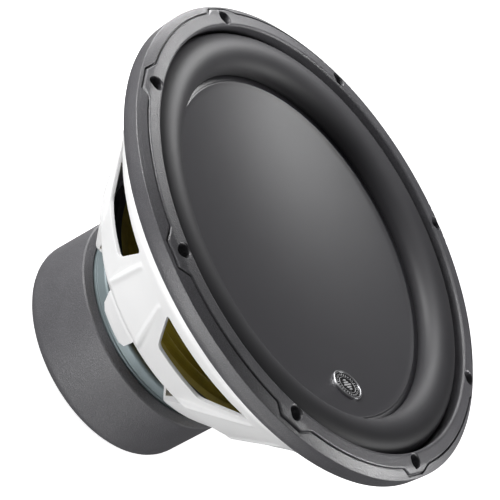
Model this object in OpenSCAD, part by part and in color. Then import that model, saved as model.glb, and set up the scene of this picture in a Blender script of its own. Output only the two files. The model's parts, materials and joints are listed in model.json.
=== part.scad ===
// Twelve-inch car subwoofer driver.
// +Z runs along the driver's axis, out of the cone. The origin is the centre of
// the mounting face, which is the rear face of the basket's flange.

/* [Mounting] */
// Diameter of the mounting bolt circle
bolt_circle_d = 298; // [250:1:380]
// Number of mounting bolts
bolt_count = 8; // [6:1:12]
// Diameter of the bolt holes in the steel flange
bolt_hole_d = 6.5; // [4:0.1:8]
// Depth from the mounting face to the back of the magnet boot
mounting_depth = 160; // [134:1:200]

/* [Trim ring] */
// Height of the ring's inner edge above the mounting face
ring_h = 16.9; // [12:0.1:22]
// Distance from the bolt circle in to the ring's inner wall
ring_inset = 6; // [5:0.1:9]
// Distance from the bolt circle out to the ring's ridge
ring_outset = 9.6; // [9:0.1:14]
// Fall of the flat front face from the inner edge to the groove
ring_crown = 1.4; // [0.5:0.1:3]
// Height of the outer side wall up to the ridge
ring_side_h = 11; // [7:0.1:12]
// Diameter of the bolt holes in the ring
ring_hole_d = 9.4; // [7:0.1:11]
// Distance from the bolt circle out to the decorative groove
groove_outset = 3.6; // [3:0.1:5]
// Width of the groove
groove_w = 1.3; // [0.8:0.1:2]
// Depth of the groove
groove_depth = 1.1; // [0.5:0.1:2]
// Length of the groove's outline round a bolt, along the ring
groove_tab_l = 31; // [20:1:40]
// Distance the outline steps out round a bolt
groove_tab_step = 4.4; // [2:0.1:4.8]
// Length of each slanted end of that step, along the ring
groove_tab_slant = 7; // [4:0.5:9]

/* [Basket] */
// Thickness of the pressed steel
sheet_t = 2; // [1.2:0.1:3]
// Distance from the bolt circle out to the edge of the flange
flange_margin = 7; // [5:0.1:9]
// Distance from the bolt circle in to the straight wall
wall_inset = 9; // [7:0.1:14]
// Height of the straight wall behind the mounting face
wall_h = 14.5; // [10:0.5:20]
// Outer diameter of the lower rim
rim_d = 182; // [150:1:220]
// Number of spokes, and of windows between them
spoke_count = 7; // [5:1:9]
// Turn of the first spoke against the first bolt
spoke_clocking = 2; // [-20:1:20]
// Distance from the straight wall down to the windows' upper edge
window_drop = 7.7; // [5:0.1:14]
// Height of a window
window_h = 31.5; // [18:0.5:40]
// Width of a window along its upper edge
window_top_w = 80; // [50:1:96]
// Width of a window along its lower edge
window_bottom_w = 41; // [25:1:60]
// Corner radius of a window
window_corner_r = 3; // [1:0.5:6]
// Width of the raised panel at the top of a spoke
panel_top_w = 26; // [14:1:30]
// Width of the raised panel at the bottom of a spoke
panel_bottom_w = 42; // [24:1:50]
// Height of the raised panel over the conical wall
panel_rise = 4; // [1:0.5:6]
// Width of the ledge inside the lower rim
ledge_w = 15; // [10:0.5:22]
// Height of the feet that lift the basket off the top plate
foot_h = 19.2; // [12:0.1:26]
// Width of a foot
foot_w = 21; // [14:1:28]

/* [Suspension] */
// Width of the surround's roll
roll_w = 25; // [16:0.5:32]
// Height of the roll's crest over the mounting face
roll_h = 15.6; // [10:0.1:20]
// Thickness of the surround's rubber
rubber_t = 1.8; // [1:0.1:3]
// Distance from the lower rim's outside in to the spider's edge
spider_inset = 8; // [5:0.5:16]
// Height of the spider's ring over the basket's ledge
spider_ring_h = 7; // [4:0.5:12]
// Width of the spider's ring
spider_ring_w = 11; // [6:0.5:14]
// Number of waves in the spider
spider_waves = 6; // [3:1:8]
// Height of the spider's waves from crest to trough
spider_wave_h = 5; // [2:0.5:8]
// Thickness of the spider's cloth
spider_t = 0.9; // [0.5:0.1:1.5]

/* [Cone] */
// Width of the flat lip round the dish
lip_w = 4.6; // [3:0.1:8]
// Thickness of the moulded dish
dish_t = 2.2; // [1.4:0.1:3]
// Depth of the dish at its centre
dish_depth = 20; // [12:0.5:26]
// Diameter where the neck meets the dish
neck_d = 176; // [120:1:180]
// Wall thickness of the neck
neck_t = 1.2; // [1:0.1:2]
// Height of the collar that holds the former
collar_h = 8; // [5:0.5:12]
// Wall thickness of the collar
collar_t = 2.2; // [1.5:0.1:3]
// Diameter of the badge
badge_d = 22.6; // [16:0.1:30]
// Thickness of the badge
badge_t = 1.8; // [1:0.1:3]
// Width of the badge's bezel
bezel_w = 1.9; // [1:0.1:3]
// Depth of the badge's face below the bezel
badge_recess = 0.8; // [0.2:0.1:0.9]
// Distance from the lip's inner edge in to the badge's centre
badge_inset = 23; // [18:0.5:40]

/* [Motor] */
// Inside diameter of the voice coil's former
former_d = 50.8; // [38:0.1:64]
// Wall thickness of the former
former_t = 0.4; // [0.2:0.1:0.8]
// Length of the former below the winding
former_tail = 2; // [1:0.5:4]
// Thickness of the winding
coil_t = 1.6; // [0.8:0.1:2.4]
// Height of the winding
coil_h = 40; // [24:1:44]
// Clearance inside the former, round the pole
pole_clearance = 0.7; // [0.4:0.1:1.5]
// Clearance outside the winding
coil_clearance = 1; // [0.5:0.1:2]
// Diameter of the vent through the pole
vent_d = 20; // [10:1:28]
// Flare of the vent's mouth
vent_flare = 3; // [1:0.5:5]
// Diameter of the top plate
plate_d = 132; // [110:1:158]
// Thickness of the top plate
plate_t = 13; // [8:0.5:16]
// Edge radius of the top plate
plate_edge_r = 5; // [2:0.5:6]
// Height of the rim that shows over the boot's lip
plate_rim_h = 1.2; // [0.4:0.1:1.6]
// Width of that rim
plate_rim_w = 0.8; // [0.4:0.1:1.2]
// Diameter of the magnets
magnet_d = 139; // [120:1:166]
// Inside diameter of the magnets
magnet_bore_d = 78; // [64:1:90]
// Thickness of one magnet
magnet_t = 16.5; // [12:0.5:20]
// Thickness of the back plate
back_t = 12; // [8:0.5:16]
// Height of the shorting ring
shorting_ring_h = 8; // [4:0.5:12]
// Wall thickness of the rubber boot
boot_t = 3.2; // [2:0.1:5]
// Thickness of the boot's back
boot_back_t = 2.5; // [1.5:0.1:4]
// Rounding of the boot's back edge
boot_back_r = 11; // [4:0.5:13]
// Height of the boot's lip on the top plate
boot_lip_h = 3.5; // [2:0.5:5]
// Clearance between the boot and the magnets
boot_clearance = 0.5; // [0.3:0.1:1]

/* [Terminals] */
// Spoke that carries the terminal block
terminal_spoke = 4; // [0:1:6]
// Width of the terminal block
block_w = 42; // [34:1:50]
// Length of the terminal block, along the radius
block_l = 17; // [14:0.5:20]
// Distance from the lower rim out to the block
block_offset = 12; // [10:0.5:16]
// Distance from the block's lower face down from the lower rim
block_drop = 4; // [0:0.5:8]
// Diameter of a push button
button_d = 9; // [7:0.1:12]
// Distance a button stands out of the block
button_out = 6; // [4:0.5:8]
// Length of a button inside the block
button_body_h = 10; // [8:0.5:12]
// Length of a button's spring at rest
spring_h = 5; // [4.5:0.1:6]
// Travel of a button
button_travel = 3; // [2:0.1:4]
// Distance between the two buttons
button_pitch = 22; // [16:1:28]
// Width of a contact's strip
contact_w = 6; // [3:0.5:8]
// Thickness of a contact's strip
contact_t = 0.8; // [0.5:0.1:1.2]
// Height of a contact's solder tag above the basket's wall
tag_h = 8; // [5:0.5:12]
// Diameter of a tinsel lead
lead_d = 2.4; // [1.6:0.1:3]

/* [Fasteners] */
// Shank diameter of the screws that hold the feet
screw_d = 5; // [3:0.5:6]
// Head diameter of those screws
screw_head_d = 9; // [7:0.5:11]
// Head height of those screws
screw_head_h = 3; // [2:0.1:4]
// Distance from the top plate's edge in to those screws
screw_inset = 8.5; // [8:0.5:11]
// Length of thread in the top plate
screw_bite = 8; // [5:0.5:10]
// Shank diameter of the rivet in the terminal block
rivet_d = 4; // [3:0.1:5]

/* [Hidden] */
$fn = 96;
tiny = 0.01;
glue_gap = 0.3;
fit_gap = 0.05;
seat_gap = 0.3;
through = 30;

// Trim ring: the draft of its side, the bevel above its ridge and the rounding of its inner edge
ring_draft = 0.7;
ring_bevel_w = 2.2;
ring_bevel_h = 1.8;
ring_lip_r = 2;
groove_miter = 0.6;
bolt_hole_margin = 0.6;

// Joint of the surround and the cone
lip_drop = 0.2;
lip_t = 1.6;
neck_land_h = 2.5;
spider_to_collar = 9;

// Radii that follow the bolt circle
bolt_r = bolt_circle_d / 2;
ring_in_r = bolt_r - ring_inset;
ring_out_r = bolt_r + ring_outset;
ring_base_r = ring_out_r - ring_draft;
groove_r = bolt_r + groove_outset;
flange_r = bolt_r + flange_margin;
wall_r = bolt_r - wall_inset;
rim_r = rim_d / 2;

// Heights, from the mounting face back
motor_h = plate_t + 2 * magnet_t + back_t + boot_back_t;
plate_top_z = motor_h - mounting_depth;
plate_bottom_z = plate_top_z - plate_t;
magnet_mid_z = plate_bottom_z - magnet_t;
back_top_z = magnet_mid_z - magnet_t;
back_bottom_z = back_top_z - back_t;
rim_z = plate_top_z + foot_h;
cone_top_z = -wall_h;

// The conical wall: its outer radius falls in a straight line to the lower rim
wall_slope = (wall_r - rim_r) / (cone_top_z - rim_z);
wall_angle = atan(wall_slope);
sheet_across = sheet_t / cos(wall_angle);
function wall_out_r(z) = rim_r + wall_slope * (z - rim_z);
function wall_in_r(z) = wall_out_r(z) - sheet_across;

// Windows
window_top_z = cone_top_z - window_drop;
window_bottom_z = window_top_z - window_h;
spoke_pitch = 360 / spoke_count;

// Surround and cone
foot_in_r = ring_in_r - 1;
roll_in_r = foot_in_r - roll_w;
lip_in_r = roll_in_r - lip_w;
surround_flange_out_r = bolt_r - bolt_hole_d / 2 - bolt_hole_margin;
dish_curve_r = (lip_in_r * lip_in_r + dish_depth * dish_depth) / (2 * dish_depth);
function dish_z(r) = -dish_depth - lip_drop + dish_curve_r - sqrt(pow(dish_curve_r, 2) - r * r);
dish_line = [for (i = [0:18]) let (r = lip_in_r * i / 18) [r, dish_z(r)]];
neck_r = neck_d / 2;
neck_land_w = 5;
neck_top_z = dish_z(neck_r) - dish_t - neck_land_h;

// Badge, sunk into the dish by badge_root
badge_r = lip_in_r - badge_inset;
badge_tilt = asin(badge_r / dish_curve_r);
badge_root = 3;

// Spider
ledge_top_z = rim_z + sheet_t;
spider_z = ledge_top_z + spider_ring_h;
spider_r = rim_r - spider_inset;
spider_flat_w = 6;
spider_hub_w = 3;
spider_ring_out_r = spider_r - spider_flat_w + spider_ring_w;
ledge_in_r = rim_r - ledge_w;
former_in_r = former_d / 2;
former_out_r = former_in_r + former_t;
coil_r = former_out_r + coil_t;
collar_r = former_out_r + collar_t;
spider_in_r = former_out_r + glue_gap;
collar_z = spider_z + spider_wave_h / 2 + spider_to_collar;

// Motor
pole_r = former_in_r - pole_clearance;
plate_r = plate_d / 2;
plate_bore_r = coil_r + coil_clearance;
magnet_r = magnet_d / 2;
magnet_bore_r = magnet_bore_d / 2;
boot_in_r = magnet_r + boot_clearance;
boot_r = boot_in_r + boot_t;
boot_edge_r = 1;
back_bevel = 2;
coil_mid_z = (plate_top_z + plate_bottom_z) / 2;
former_bottom_z = coil_mid_z - coil_h / 2 - former_tail;
former_top_z = collar_z + collar_h;

// Feet
foot_screw_r = plate_r - screw_inset;
foot_pad_in_r = foot_screw_r - screw_head_d / 2 - 2.5;
foot_top_z = plate_top_z + sheet_t;
foot_bend_h = 3;
foot_bend_r = rim_r - wall_slope * (foot_h - foot_bend_h);
foot_heel_w = foot_bend_h * wall_slope;

// Raised panels on the spokes
panel_top_z = window_top_z - 1;
panel_knee_z = rim_z + 9;
panel_knee_r = wall_out_r(panel_knee_z) + panel_rise;
panel_slope = (wall_out_r(panel_top_z) - panel_knee_r) / (panel_top_z - panel_knee_z);
panel_angle = atan(panel_slope);
hollow_toe = 0.6;
function panel_out_r(z) = panel_knee_r + panel_slope * (z - panel_knee_z);
function panel_out_z(r) = panel_knee_z + (r - panel_knee_r) / panel_slope;

// Terminals: the block hangs under one spoke, its buttons face the back
terminal_angle = spoke_clocking + terminal_spoke * spoke_pitch;
block_in_r = rim_r + block_offset;
block_out_r = block_in_r + block_l;
block_bottom_z = rim_z - block_drop;
block_mid_r = (block_in_r + block_out_r) / 2;
button_r = button_d / 2;
button_y = button_pitch / 2;
button_bore_r = button_r + fit_gap;
spring_z = block_bottom_z + button_body_h + fit_gap * 2;
bore_top_z = spring_z + spring_h + seat_gap;
tag_top_z = panel_out_z(block_mid_r) + sheet_across / panel_slope + tag_h;
rivet_z = bore_top_z + 3;
rivet_r = panel_out_r(rivet_z);
rivet_grip = 9;
rivet_head_r = rivet_d;
rivet_head_h = 1.4;
lead_r = lead_d / 2;
lead_rings = 18;
lead_sides = 10;
lead_end_angle = 17;

function arc(cx, cy, r, a0, a1, n) = [for (i = [0:n])
    [cx + r * cos(a0 + (a1 - a0) * i / n), cy + r * sin(a0 + (a1 - a0) * i / n)]];

// Points of a polygon's corner, rounded to radius r, between the corners before and after it
function unit(v) = v / norm(v);
function corner(before, at, after, r, n = 6) =
    let (u = unit(before - at), v = unit(after - at),
        half = acos(u * v) / 2,
        c = at + unit(u + v) * r / sin(half),
        p = at + u * r / tan(half),
        q = at + v * r / tan(half),
        a0 = atan2(p.y - c.y, p.x - c.x),
        a1 = atan2(q.y - c.y, q.x - c.x),
        turn = ((a1 - a0 + 540) % 360) - 180)
    arc(c.x, c.y, r, a0, a0 + turn, n);

module at_bolts() {
    for (i = [0:bolt_count - 1])
        rotate([0, 0, i * 360 / bolt_count]) translate([bolt_r, 0, 0]) children();
}

module at_spokes() {
    for (i = [0:spoke_count - 1])
        rotate([0, 0, spoke_clocking + i * spoke_pitch]) children();
}

// A prism of an outline drawn in the plane of the tangent and Z, from radius r0 to r1
module radial_prism(points, r0, r1) {
    translate([r0, 0, 0]) rotate([90, 0, 90]) linear_extrude(height = r1 - r0)
        polygon(points);
}

// --- Trim ring ---------------------------------------------------------------

ring_front = [[ring_in_r, ring_h], [groove_r, ring_h - ring_crown],
    [ring_out_r - ring_bevel_w, ring_side_h + ring_bevel_h], [ring_out_r, ring_side_h]];

// The groove's line, grown outwards. Round each bolt it steps out, and its slanted ends cross the circle
module groove_outline(grow) {
    r = groove_r + grow;
    half = groove_tab_l / 2 + grow * groove_miter;
    base = sqrt(r * r - half * half);
    circle(r = r, $fn = 180);
    for (i = [0:bolt_count - 1])
        rotate(i * 360 / bolt_count) polygon([
            [base - groove_tab_step, -half - groove_tab_slant],
            [base + groove_tab_step, -half + groove_tab_slant],
            [base + groove_tab_step, half - groove_tab_slant],
            [base - groove_tab_step, half + groove_tab_slant]]);
}

module groove_cut() {
    intersection() {
        linear_extrude(height = ring_h + 2) difference() {
            groove_outline(groove_w / 2);
            groove_outline(-groove_w / 2);
        }
        rotate_extrude($fn = 180) polygon(concat(
            [for (p = ring_front) [p.x, p.y - groove_depth]],
            [[ring_out_r + through, ring_side_h], [ring_out_r + through, ring_h + 2], [ring_in_r, ring_h + 2]]));
    }
}

module trim_ring() {
    color("#3c3c40") difference() {
        rotate_extrude($fn = 180) polygon(concat(
            [[ring_in_r, sheet_t + rubber_t]],
            [[ring_in_r, ring_h - ring_lip_r]],
            arc(ring_in_r + ring_lip_r, ring_h - ring_lip_r, ring_lip_r, 165, 100, 4),
            [ring_front[1], ring_front[2], ring_front[3]],
            [[ring_base_r, 0], [flange_r + fit_gap, 0], [flange_r + fit_gap, sheet_t],
                [surround_flange_out_r + fit_gap, sheet_t],
                [surround_flange_out_r + fit_gap, sheet_t + rubber_t]]));
        groove_cut();
        at_bolts() cylinder(d = ring_hole_d, h = through);
    }
}

// --- Basket ------------------------------------------------------------------

module window_cut() {
    t = window_top_w / 2;
    b = window_bottom_w / 2;
    p = [[-b, window_bottom_z], [b, window_bottom_z], [t, window_top_z], [-t, window_top_z]];
    radial_prism([for (i = [0:3])
        each corner(p[(i + 3) % 4], p[i], p[(i + 1) % 4], window_corner_r)], rim_r - through, wall_r + through);
}

module panel_outline(inset) {
    low = panel_bottom_w / 2 - inset;
    high = panel_top_w / 2 - inset;
    at_spokes() radial_prism([[-low, rim_z - 1], [low, rim_z - 1], [high, panel_top_z + 1],
        [-high, panel_top_z + 1]], ledge_in_r, wall_r + panel_rise);
}

module panel_solid() {
    intersection() {
        rotate_extrude($fn = 180) polygon([[wall_out_r(panel_top_z), panel_top_z],
            [panel_knee_r, panel_knee_z], [rim_r, rim_z], [rim_r - sheet_across, rim_z],
            [wall_in_r(panel_top_z), panel_top_z]]);
        panel_outline(0);
    }
}

// The hollow behind each raised panel, so that it is pressed sheet
module panel_hollow() {
    low_z = ledge_top_z + sheet_t / 2;
    intersection() {
        rotate_extrude($fn = 180) polygon([[wall_in_r(panel_top_z), panel_top_z],
            [panel_knee_r - sheet_across, panel_knee_z], [wall_in_r(low_z) + hollow_toe, low_z],
            [wall_in_r(low_z) - sheet_t, low_z], [wall_in_r(panel_top_z) - sheet_t, panel_top_z]]);
        panel_outline(sheet_t);
    }
}

module foot() {
    half = asin(foot_w / 2 / foot_bend_r);
    bend_z = plate_top_z + foot_bend_h;
    rotate([0, 0, -half]) rotate_extrude(angle = 2 * half) polygon([
        [rim_r, rim_z], [foot_bend_r, bend_z], [foot_bend_r - foot_heel_w, plate_top_z],
        [foot_pad_in_r, plate_top_z], [foot_pad_in_r, foot_top_z],
        [foot_bend_r - sheet_across - tiny, foot_top_z], [foot_bend_r - sheet_across, bend_z],
        [rim_r - sheet_across, rim_z], [rim_r - sheet_across, rim_z + sheet_t / 2],
        [rim_r, rim_z + sheet_t / 2]]);
}

module basket_shell() {
    rotate_extrude($fn = 180) polygon([
        [flange_r, 0], [wall_r, 0], [wall_r, cone_top_z], [rim_r, rim_z],
        [ledge_in_r, rim_z], [ledge_in_r, ledge_top_z],
        [wall_in_r(ledge_top_z), ledge_top_z], [wall_r - sheet_across, cone_top_z],
        [wall_r - sheet_t, cone_top_z + 1], [wall_r - sheet_t, sheet_t], [flange_r, sheet_t]]);
}

module basket() {
    color("#eeeeec") difference() {
        union() {
            difference() {
                basket_shell();
                rotate([0, 0, spoke_pitch / 2]) at_spokes() window_cut();
            }
            panel_solid();
            at_spokes() foot();
        }
        panel_hollow();
        at_bolts() translate([0, 0, -1]) cylinder(d = bolt_hole_d, h = sheet_t + 2);
        at_spokes() translate([foot_screw_r, 0, plate_top_z - 1])
            cylinder(r = screw_d / 2 + seat_gap, h = sheet_t + 2, $fn = 32);
        at_terminal() {
            rivet_line() cylinder(r = rivet_d / 2 + fit_gap, h = 30, center = true, $fn = 32);
            contact_slots(0.3);
        }
    }
}

// --- Surround and cone -------------------------------------------------------

// Half an ellipse over the roll, from the outer foot to the inner one
function roll_line(grow, n = 24) = let (mid = (foot_in_r + roll_in_r) / 2, base = sheet_t + rubber_t / 2)
    [for (i = [0:n]) let (a = 180 * i / n)
        [mid + (roll_w / 2 + grow) * cos(a), base + (roll_h - base - rubber_t / 2 + grow) * sin(a)]];

module surround() {
    out = roll_line(rubber_t / 2);
    in = roll_line(-rubber_t / 2);
    last = len(in) - 1;
    under_lip_z = -lip_drop - lip_t - glue_gap;
    color("#38383b") rotate_extrude($fn = 180) polygon(concat(
        [[surround_flange_out_r, sheet_t], [surround_flange_out_r, sheet_t + rubber_t]],
        [[out[0].x, sheet_t + rubber_t]],
        [for (i = [1:last]) out[i]],
        [[roll_in_r + glue_gap, -lip_drop]],
        [[roll_in_r + glue_gap, under_lip_z], [lip_in_r - 2, under_lip_z]],
        [[lip_in_r - 2, under_lip_z - rubber_t], [roll_in_r + rubber_t, under_lip_z - rubber_t]],
        [for (i = [last:-1:1]) in[i]],
        [[in[0].x, sheet_t]]));
}

module cone_dish() {
    last = len(dish_line) - 1;
    land_in_r = neck_r - neck_land_w;
    color("#3e3e42") union() {
        rotate_extrude($fn = 180) polygon(concat(dish_line,
            [[roll_in_r, -lip_drop], [roll_in_r, -lip_drop - lip_t],
                [lip_in_r - dish_t, -lip_drop - lip_t]],
            [for (i = [last - 1:-1:0]) [dish_line[i].x, dish_line[i].y - dish_t]]));
        rotate_extrude() polygon([[land_in_r, neck_top_z], [neck_r, neck_top_z],
            [neck_r, dish_z(neck_r) - dish_t / 2], [land_in_r, dish_z(land_in_r) - dish_t / 2]]);
    }
}

module cone_neck() {
    land_in_r = neck_r - neck_land_w;
    color("#2c2c2e") rotate_extrude() polygon([
        [neck_r, neck_top_z], [neck_r, neck_top_z - neck_t], [collar_r, former_top_z - 2 * neck_t],
        [collar_r, collar_z], [former_out_r, collar_z], [former_out_r, former_top_z],
        [collar_r, former_top_z], [land_in_r, neck_top_z - neck_t / 2], [land_in_r, neck_top_z]]);
}

// The badge lies on the dish, in line with a bolt
module at_badge() {
    rotate([0, 0, 90]) translate([badge_r, 0, dish_z(badge_r)]) rotate([0, -badge_tilt, 0]) children();
}

module above_dish() {
    rotate_extrude($fn = 180) polygon(concat(
        dish_line, [[lip_in_r, ring_h], [0, ring_h]]));
}

module badge_bezel() {
    r = badge_d / 2;
    edge = bezel_w / 4;
    color("#c9cacd") intersection() {
        at_badge() rotate_extrude() polygon([[r - bezel_w, -badge_root], [r, -badge_root],
            [r, badge_t - edge], [r - edge, badge_t], [r - bezel_w + edge, badge_t],
            [r - bezel_w, badge_t - edge]]);
        above_dish();
    }
}

module badge_face() {
    color("#161618") intersection() {
        at_badge() translate([0, 0, -badge_root])
            cylinder(r = badge_d / 2 - bezel_w, h = badge_t + badge_root - badge_recess);
        above_dish();
    }
}

// --- Spider ------------------------------------------------------------------

function wave_z(r) = let (r0 = spider_in_r + spider_hub_w, r1 = spider_r - spider_flat_w)
    (r < r0 || r > r1) ? 0 : spider_wave_h / 2 * sin(360 * spider_waves * (r - r0) / (r1 - r0));

module spider() {
    n = spider_waves * 8;
    r0 = spider_in_r + spider_hub_w;
    r1 = spider_r - spider_flat_w;
    line = concat([[spider_in_r, 0]],
        [for (i = [0:n]) let (r = r0 + (r1 - r0) * i / n) [r, wave_z(r)]], [[spider_r, 0]]);
    color("#7d6a12") translate([0, 0, spider_z]) rotate_extrude($fn = 120) polygon(concat(
        [for (p = line) [p.x, p.y + spider_t]],
        [for (i = [len(line) - 1:-1:0]) line[i]]));
}

module spider_ring() {
    color("#1a1a1c") rotate_extrude($fn = 120) polygon([
        [spider_r - spider_flat_w, ledge_top_z], [spider_ring_out_r, ledge_top_z],
        [spider_ring_out_r, spider_z + spider_t], [spider_r + fit_gap, spider_z + spider_t],
        [spider_r + fit_gap, spider_z], [spider_r - spider_flat_w, spider_z]]);
}

// --- Voice coil --------------------------------------------------------------

module tube(r0, r1, z0, z1) {
    translate([0, 0, z0]) difference() {
        cylinder(r = r1, h = z1 - z0);
        translate([0, 0, -1]) cylinder(r = r0, h = z1 - z0 + 2);
    }
}

module voice_coil_former() {
    color("#b9a06a") tube(former_in_r, former_out_r, former_bottom_z, former_top_z);
}

module voice_coil() {
    color("#a8552a") tube(former_out_r, coil_r, coil_mid_z - coil_h / 2, coil_mid_z + coil_h / 2);
}

// --- Motor -------------------------------------------------------------------

module top_plate() {
    rim_top_z = plate_bottom_z + boot_lip_h + plate_rim_h;
    color("#aab4b8") difference() {
        rotate_extrude() polygon(concat(
            [[plate_bore_r, plate_bottom_z], [plate_r, plate_bottom_z], [plate_r, rim_top_z],
                [plate_r - plate_rim_w, rim_top_z + plate_rim_w]],
            arc(plate_r - plate_rim_w - plate_edge_r, plate_top_z - plate_edge_r, plate_edge_r, 0, 90, 8),
            [[plate_bore_r, plate_top_z]]));
        at_spokes() translate([foot_screw_r, 0, plate_top_z - screw_bite])
            cylinder(d = screw_d, h = screw_bite + 1, $fn = 32);
    }
}

module magnet_front() {
    color("#2e2e30") tube(magnet_bore_r, magnet_r, magnet_mid_z, plate_bottom_z);
}

module magnet_rear() {
    color("#2e2e30") tube(magnet_bore_r, magnet_r, back_top_z, magnet_mid_z);
}

module back_plate_and_pole() {
    vent_r = vent_d / 2;
    color("#9aa2a6") rotate_extrude() polygon([
        [vent_r, back_bottom_z], [plate_r - back_bevel, back_bottom_z],
        [plate_r, back_bottom_z + back_bevel], [plate_r, back_top_z], [pole_r, back_top_z],
        [pole_r, plate_top_z - 1], [pole_r - 1, plate_top_z],
        [vent_r + vent_flare, plate_top_z], [vent_r, plate_top_z - vent_flare]]);
}

module shorting_ring() {
    color("#c4c6c8") tube(coil_r + coil_clearance, magnet_bore_r - seat_gap, back_top_z,
        back_top_z + shorting_ring_h);
}

module magnet_boot() {
    back_z = -mounting_depth;
    hole_r = vent_d / 2 + 2;
    plate_gap_r = plate_r + seat_gap;
    lip_z = plate_bottom_z + boot_lip_h;
    color("#3f3f43") rotate_extrude($fn = 180) polygon(concat(
        [[hole_r, back_z]],
        arc(boot_r - boot_back_r, back_z + boot_back_r, boot_back_r, -90, 0, 10),
        arc(boot_r - boot_edge_r, plate_bottom_z - boot_edge_r, boot_edge_r, 0, 70, 3),
        [[plate_gap_r + boot_edge_r, lip_z], [plate_gap_r, lip_z - boot_edge_r / 2],
            [plate_gap_r, plate_bottom_z], [boot_in_r, plate_bottom_z], [boot_in_r, back_top_z],
            [plate_gap_r, back_top_z - boot_edge_r], [plate_gap_r, back_bottom_z + back_bevel],
            [plate_gap_r - back_bevel, back_bottom_z], [hole_r, back_bottom_z]]));
}

module foot_screws() {
    shank_r = screw_d / 2 - fit_gap;
    color("#b8bcc0") at_spokes() translate([foot_screw_r, 0, 0]) {
        translate([0, 0, foot_top_z - sheet_t - screw_bite + seat_gap])
            cylinder(r = shank_r, h = screw_bite + sheet_t, $fn = 32);
        difference() {
            translate([0, 0, foot_top_z]) cylinder(d = screw_head_d, h = screw_head_h, $fn = 48);
            translate([0, 0, foot_top_z + screw_head_h / 2])
                cylinder(d = screw_head_d * 0.55, h = screw_head_h, $fn = 6);
        }
    }
}

// --- Terminals ---------------------------------------------------------------

module at_terminal() {
    rotate([0, 0, terminal_angle]) children();
}

module on_each_side() {
    for (s = [-1, 1]) translate([block_mid_r, s * button_y, 0]) children();
}

// The rivet's axis, square to the raised panel, from the panel's outer face
module rivet_line() {
    translate([rivet_r, 0, rivet_z]) rotate([0, 90 + panel_angle, 0]) children();
}

module contact_slots(gap) {
    on_each_side() translate([-contact_t / 2 - gap, -contact_w / 2 - gap, bore_top_z])
        cube([contact_t + 2 * gap, contact_w + 2 * gap, tag_top_z - bore_top_z + gap]);
}

// Everything inside the basket's outer surface, raised panels included
module basket_volume() {
    rotate_extrude($fn = 180) polygon([[0, rim_z], [rim_r, rim_z], [wall_r, cone_top_z],
        [wall_r, 1], [0, 1]]);
    panel_solid();
}

module terminal_block() {
    shoulder_z = bore_top_z + 4;
    top_z = panel_out_z(block_in_r + 10);
    color("#202022") difference() {
        at_terminal() rotate([90, 0, 0]) linear_extrude(height = block_w, center = true)
            polygon([[block_in_r + 1, block_bottom_z], [block_out_r - 1.5, block_bottom_z],
                [block_out_r, block_bottom_z + 1.5], [block_out_r, shoulder_z],
                [block_in_r + 10, top_z], [block_in_r, top_z], [block_in_r, block_bottom_z + 1]]);
        basket_volume();
        at_terminal() {
            on_each_side() translate([0, 0, block_bottom_z - 1])
                cylinder(r = button_bore_r, h = bore_top_z - block_bottom_z + 1, $fn = 48);
            contact_slots(fit_gap);
            rivet_line() {
                cylinder(r = rivet_d / 2 + fit_gap, h = 30, $fn = 32);
                translate([0, 0, rivet_grip]) cylinder(r = rivet_head_r + 0.6, h = 30, $fn = 32);
            }
        }
    }
}

module terminal_rivet() {
    back = sheet_across * cos(panel_angle) + 0.1;
    color("#b8bcc0") at_terminal() rivet_line() {
        translate([0, 0, -back]) cylinder(d = rivet_d, h = back + rivet_grip + 0.1, $fn = 32);
        translate([0, 0, -back - rivet_head_h]) cylinder(r = rivet_head_r, h = rivet_head_h, $fn = 32);
        translate([0, 0, rivet_grip]) cylinder(r = rivet_head_r, h = rivet_head_h, $fn = 32);
    }
}

module button_shape() {
    translate([0, 0, block_bottom_z - button_out]) difference() {
        rotate_extrude($fn = 48) polygon([[0, 0], [button_r - 0.8, 0], [button_r, 0.8],
            [button_r, button_out + button_body_h], [0, button_out + button_body_h]]);
        translate([0, 0, button_out - button_travel]) rotate([0, 90, 0])
            cylinder(r = 1.4, h = 4 * button_r, center = true, $fn = 24);
    }
}

module red_side() {
    at_terminal() translate([block_mid_r, button_y, 0]) children();
}

module black_side() {
    at_terminal() translate([block_mid_r, -button_y, 0]) children();
}

module button_red() {
    color("#c01818") red_side() button_shape();
}

module button_black() {
    color("#0c0c0d") black_side() button_shape();
}

module spring_shape() {
    tube(button_r - 1.6, button_r - 0.6, spring_z, spring_z + spring_h);
}

module button_spring_red() {
    color("#b8bcc0") red_side() spring_shape();
}

module button_spring_black() {
    color("#b8bcc0") black_side() spring_shape();
}

module contact_shape() {
    translate([-contact_t / 2, -contact_w / 2, bore_top_z + fit_gap])
        cube([contact_t, contact_w, tag_top_z - bore_top_z - fit_gap]);
}

module contact_red() {
    color("#c8a040") red_side() contact_shape();
}

module contact_black() {
    color("#c8a040") black_side() contact_shape();
}

// --- Tinsel leads ------------------------------------------------------------

// A smooth curve from the tag, sagging under the neck, to the collar
function lead_point(t, side) = let (
        a = [block_mid_r - contact_t / 2 - 0.1, side * button_y, tag_top_z - 3],
        b = [block_mid_r - 22, side * button_y, tag_top_z - 6],
        c = [collar_r + 34, side * (button_y + 2), collar_z - 6],
        d = [(collar_r + glue_gap) * cos(lead_end_angle), side * (collar_r + glue_gap) * sin(lead_end_angle),
            collar_z + collar_h / 2])
    pow(1 - t, 3) * a + 3 * pow(1 - t, 2) * t * b + 3 * (1 - t) * t * t * c + pow(t, 3) * d;

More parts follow.
